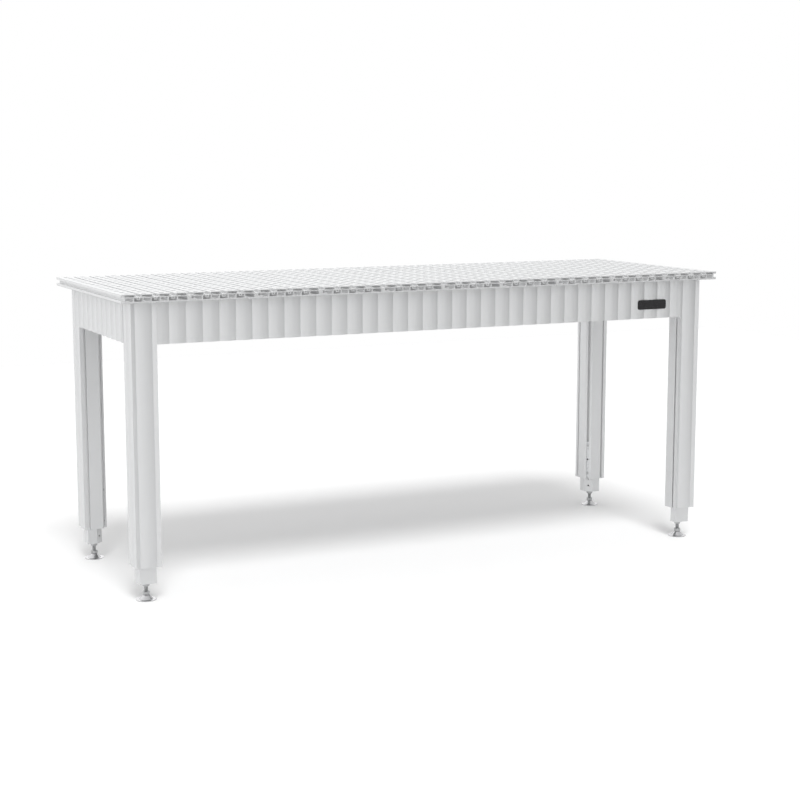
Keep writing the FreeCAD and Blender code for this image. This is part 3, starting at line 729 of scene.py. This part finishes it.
def black_lacquer(colour):
    """Gloss black lacquer with a faint orange peel and small scuffs."""
    material, tree = new_material("black_lacquer")
    peel = noise(tree, object_place(tree), scale=700.0, detail=2.0)
    scuffs = noise(tree, object_place(tree, (1, 1, 3)), scale=120.0, detail=4.0, roughness=0.7)
    worn = scuffs.between(0.56, 0.72)
    tint = mix_colours(tree, worn * 0.5, shade(colour, 1.0), shade(colour, 3.0))
    close_material(tree, principled(tree, {
        "Base Color": tint, "Roughness": worn * 0.25 + 0.24,
        "Normal": bump(tree, peel, strength=0.08, distance=0.00005)}))
    return material


class TABLE_OT_name_plate(bpy.types.Operator):
    """Make the bare black name plate that lies on the front fascia's crests"""
    bl_idname = "table.name_plate"
    bl_label = "Name plate"

    def execute(self, context):
        look = context.scene.table_name_plate
        low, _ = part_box("fascia_front")
        bpy.ops.object.select_all(action="DESELECT")
        bpy.ops.mesh.primitive_cube_add(
            size=1, location=(look.across, low.y - look.thickness / 2, low.z + look.up),
            scale=(look.width, look.thickness, look.height))
        plate = just_added()
        plate.name = "name_plate"
        front = low.y - look.thickness
        with editing(plate):
            pick("edges", lambda edge:
                 abs((edge.verts[0].co - edge.verts[1].co).y) > look.thickness / 2)
            bpy.ops.mesh.bevel(offset=look.corner, segments=8, affect="EDGES")
            pick("faces", lambda face: face.normal.y < -0.9)
            bpy.ops.mesh.inset(thickness=look.rim, depth=0)
            bpy.ops.mesh.inset(thickness=look.rim / 4, depth=-look.rim / 5)
            pick("edges", lambda edge:
                 all(abs(corner.co.y - front) < TOUCHING for corner in edge.verts)
                 and any(face.normal.y > -0.5 for face in edge.link_faces))
            bpy.ops.mesh.bevel(offset=look.rim / 5, segments=2, affect="EDGES")
        smooth(plate)
        fit_out(plate, black_lacquer(look.colour), "table_frame")
        return {"FINISHED"}


def threaded_rod(look, low, high):
    """A rod about the origin with a real right-hand thread, closed at both ends."""
    root = look.width / 2 - look.depth
    bpy.ops.object.select_all(action="DESELECT")
    bpy.ops.mesh.primitive_plane_add(size=look.pitch, rotation=(QUARTER_TURN, 0, 0),
                                     location=(root + look.pitch / 2, 0, low - look.pitch / 2))
    rod = just_added()
    middle = low - look.pitch / 2 + look.pitch / 8
    with editing(rod):
        pick("verts", lambda corner: corner.co.x > root + look.pitch / 2)
        bpy.ops.mesh.delete(type="VERT")
        bpy.ops.mesh.select_all(action="SELECT")
        bpy.ops.mesh.subdivide(number_cuts=3)
        pick("verts", lambda corner: abs(corner.co.z - middle) < look.pitch / 4)
        bpy.ops.transform.translate(value=(look.depth, 0, 0))
        bpy.ops.transform.resize(value=(1, 1, 0.5), center_override=(root, 0, middle))
    bpy.ops.object.modifier_add(type="SCREW")
    winding = rod.modifiers[-1]
    winding.steps = winding.render_steps = look.sides
    winding.screw_offset = look.pitch
    winding.iterations = math.ceil((high - low) / look.pitch) + 3
    winding.use_merge_vertices, winding.merge_threshold = True, TOUCHING
    bpy.ops.object.modifier_apply(modifier=winding.name)
    rod.data.transform(Matrix.Translation((0, 0, -look.pitch)))
    with editing(rod):
        for height, outer in ((high, True), (low, False)):
            bpy.ops.mesh.select_all(action="SELECT")
            bpy.ops.mesh.bisect(plane_co=(0, 0, height), plane_no=(0, 0, 1), use_fill=True,
                                clear_outer=outer, clear_inner=not outer)
        bpy.ops.mesh.select_all(action="SELECT")
        bpy.ops.mesh.remove_doubles(threshold=TOUCHING)
        bpy.ops.mesh.normals_make_consistent(inside=False)
    return rod


class TABLE_OT_spindles(bpy.types.Operator):
    """Make the threaded spindles, each with its hexagon, neck and ball"""
    bl_idname = "table.spindles"
    bl_label = "Threaded spindles"

    def execute(self, context):
        look = context.scene.table_spindle
        low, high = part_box("foot_spindle_front_left")
        hex_high = look.hex_low + look.hex_height
        corners = over_corners(look.hex_flats)
        nut = round_bar(corners, look.hex_low, hex_high, sides=6)
        turned = round_bar(corners, look.hex_low, hex_high, sides=48)
        bevel_ends(turned, (corners - look.hex_flats) * 0.6, 1, (look.hex_low, hex_high))
        hexagon = combine(nut, turned, "INTERSECT")
        rod = threaded_rod(look, hex_high - look.pitch, high.z)
        neck = round_bar(look.neck, low.z + look.ball / 2, look.hex_low + look.pitch, sides=24)
        bpy.ops.object.select_all(action="DESELECT")
        bpy.ops.mesh.primitive_uv_sphere_add(segments=32, ring_count=16, radius=look.ball / 2,
                                             location=(0, 0, low.z + look.ball / 2))
        model = join([hexagon, rod, neck, just_added()], "spindle_model")
        smooth(model)
        for index, corner in enumerate(CORNERS):
            node = f"foot_spindle_{corner}"
            first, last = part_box(node)
            middle = (first + last) / 2
            place = Matrix.Translation((middle.x, middle.y, 0))
            twin = twin_of(model, f"threaded_spindle_{corner}",
                           place @ Matrix.Rotation(QUARTER_TURN * index, 4, "Z"))
            fit_out(twin, bpy.data.materials["dark_steel"], f"spindle_{corner}")
            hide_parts(node)
        bpy.data.objects.remove(model)
        return {"FINISHED"}


def cap_screw(look):
    """Socket-headed screw about the origin: its head hangs below, its shank stands up."""
    head = round_bar(look.head_width, -look.head_height, 0, sides=24)
    bevel_ends(head, look.head_height / 12, 1, (-look.head_height,))
    key = round_bar(over_corners(look.socket), -look.head_height * 1.2, -look.head_height / 2,
                    sides=6)
    combine(head, key, "DIFFERENCE")
    shank = round_bar(look.width, -look.head_height / 4, look.length, sides=16)
    bevel_ends(shank, look.width / 10, 1, (look.length,))
    screw = join([head, shank], "screw_model")
    smooth(screw)
    return screw


class TABLE_OT_screws(bpy.types.Operator):
    """Make the screws that hold the plate and the corner braces on the rails"""
    bl_idname = "table.screws"
    bl_label = "Screws"

    def execute(self, context):
        look = context.scene.table_screws
        screw = cap_screw(look)
        for side in ("front", "back", "left", "right"):
            low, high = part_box(f"rail_{side}")
            middle, reach = (low + high) / 2, (high - low) / 2
            along = 0 if reach.x > reach.y else 1
            copies = 2 * math.floor((reach[along] + look.pitch / 2) / look.pitch)
            twins = []
            for index in range(copies):
                spot = Vector((middle.x, middle.y, high.z - look.rail_wall))
                spot[along] += (index - (copies - 1) / 2) * look.pitch
                twins.append(twin_of(screw, "plate_screw", Matrix.Translation(spot)))
            rows = join(twins, f"plate_screws_{side}")
            fit_out(rows, bpy.data.materials["zinc_steel"], "table_frame")
        for corner in CORNERS:
            low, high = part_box(f"corner_brace_{corner}")
            middle, half = (low + high) / 2, (high.x - low.x) / 2
            outward = Vector((math.copysign(1, middle.x), math.copysign(1, middle.y), 0))
            twins = []
            for along, across in ((0, 1), (1, 0)):
                for height in (low.z + look.brace_inset, high.z - look.brace_inset):
                    spot = middle.copy()
                    spot[along] -= outward[along] * (half - look.brace_inset)
                    spot[across] += outward[across] * (half - look.brace_sheet)
                    spot.z = height
                    way = Vector((0, 0, 0))
                    way[across] = outward[across]
                    turn = way.to_track_quat("Z", "Y").to_matrix().to_4x4()
                    twins.append(twin_of(screw, "brace_screw", Matrix.Translation(spot) @ turn))
            group = join(twins, f"brace_screws_{corner}")
            fit_out(group, bpy.data.materials["zinc_steel"], "table_frame")
        bpy.data.objects.remove(screw)
        return {"FINISHED"}


# ---------------------------------------------------------------- studio

def lay_floor(look):
    """The pale floor, whose glow makes it white to the camera and pale in metal."""
    bpy.ops.object.select_all(action="DESELECT")
    bpy.ops.mesh.primitive_plane_add(size=look.floor_size, location=(0, 0, 0))
    floor = bpy.context.object
    floor.name = "studio_floor"
    material, tree = new_material("studio_floor")
    camera_ray, glossy_ray, glass_ray = ray_kinds(tree)
    diffuse = add_node(tree, "ShaderNodeBsdfDiffuse", {}, {"Color": (*[look.floor_grey] * 3, 1)})
    glow = add_node(tree, "ShaderNodeEmission", {}, {
        "Color": WHITE,
        "Strength": (camera_ray + glass_ray) * look.floor_glow + glossy_ray * look.floor_mirrored})
    close_material(tree, add_node(tree, "ShaderNodeAddShader", {}, [diffuse, glow]))
    floor.data.materials.append(material)


def surround(scene, sky, look):
    """White to the camera, one even level to matt surfaces, and a graded room in metal."""
    world = bpy.data.worlds.new("studio_world")
    scene.world = world
    world.use_nodes = True
    tree = world.node_tree
    tree.nodes.clear()
    camera_ray, glossy_ray, glass_ray = ray_kinds(tree)
    right, back, up = axes(tree, add_node(tree, "ShaderNodeTexCoord", output=0))
    over_horizon = up.between(0.0, look.lift_full) - up.between(*look.top) * look.top_fall
    patch = (right + back - look.patch_edge).maths("MAXIMUM", 0.0) * (1.0 - right)
    mirrored = look.level - right * look.right_fall - back * look.back_fall
    mirrored = mirrored + over_horizon * (
        right * look.right_lift + back * look.back_lift + patch * look.patch_lift + look.lift)
    seen = camera_ray.maths("ADD", glass_ray, clamp=True)
    unseen = (1.0 - seen) * (glossy_ray * (mirrored - sky) + sky)
    glow = add_node(tree, "ShaderNodeBackground", {}, {"Color": WHITE, "Strength": seen + unseen})
    out = tree.nodes.new("ShaderNodeOutputWorld")
    tree.links.new(glow.socket, out.inputs["Surface"])


def hang_lamps(scene, look):
    """A sun lamp over the front, which metal doesn't mirror, and a large lamp on the left."""
    sun = bpy.data.lights.new("key_light", "SUN")
    sun.energy, sun.angle = look.key, look.key_angle
    lamp = bpy.data.objects.new("key_light", sun)
    lamp.visible_glossy = False
    lamp.rotation_euler = Vector(look.key_way).to_track_quat("Z", "Y").to_euler()
    scene.collection.objects.link(lamp)

    side = bpy.data.lights.new("side_light", "AREA")
    side.shape, side.energy = "RECTANGLE", look.side
    side.size, side.size_y = look.side_size
    lamp = bpy.data.objects.new("side_light", side)
    lamp.location = look.side_place
    away = Vector(look.side_place) - Vector(look.side_aim)
    lamp.rotation_euler = away.to_track_quat("Z", "Y").to_euler()
    scene.collection.objects.link(lamp)


def stand_camera(scene, look):
    shot = bpy.data.cameras.new("camera")
    shot.lens, shot.sensor_width = look.lens, look.sensor
    shot.dof.use_dof = False
    camera = bpy.data.objects.new("camera", shot)
    camera.location = look.camera_place
    camera.rotation_euler = look.camera_turn
    scene.collection.objects.link(camera)
    scene.camera = camera


class TABLE_OT_studio(bpy.types.Operator):
    """Build the pale floor, the lamps, the surrounding light and the camera"""
    bl_idname = "table.studio"
    bl_label = "Studio"

    def execute(self, context):
        scene = context.scene
        look = scene.table_studio
        lay_floor(look)
        surround(scene, look.sky, scene.table_mirrored)
        hang_lamps(scene, look)
        stand_camera(scene, look)
        scene.view_settings.view_transform = "Standard"
        return {"FINISHED"}


OPERATORS = (TABLE_OT_plate_finish, TABLE_OT_fluted_finish, TABLE_OT_steel_finish,
             TABLE_OT_name_plate, TABLE_OT_spindles, TABLE_OT_screws, TABLE_OT_studio)


class TABLE_PT_panel(bpy.types.Panel):
    bl_idname = "TABLE_PT_panel"
    bl_label = "Assembly table"
    bl_space_type = "VIEW_3D"
    bl_region_type = "UI"
    bl_category = "Assembly table"

    def draw(self, context):
        for operator in OPERATORS:
            self.layout.operator(operator.bl_idname)


def register():
    for name, group in SETTINGS.items():
        bpy.utils.register_class(group)
        setattr(bpy.types.Scene, name, PointerProperty(type=group))
    for item in (*OPERATORS, TABLE_PT_panel):
        bpy.utils.register_class(item)


def unregister():
    for item in (TABLE_PT_panel, *OPERATORS[::-1]):
        bpy.utils.unregister_class(item)
    for name, group in SETTINGS.items():
        delattr(bpy.types.Scene, name)
        bpy.utils.unregister_class(group)


def main():
    register()
    bpy.ops.table.plate_finish()
    bpy.ops.table.fluted_finish()
    bpy.ops.table.steel_finish()
    bpy.ops.table.name_plate()
    bpy.ops.table.spindles()
    bpy.ops.table.screws()
    bpy.ops.table.studio()


if __name__ == "__main__":
    main()
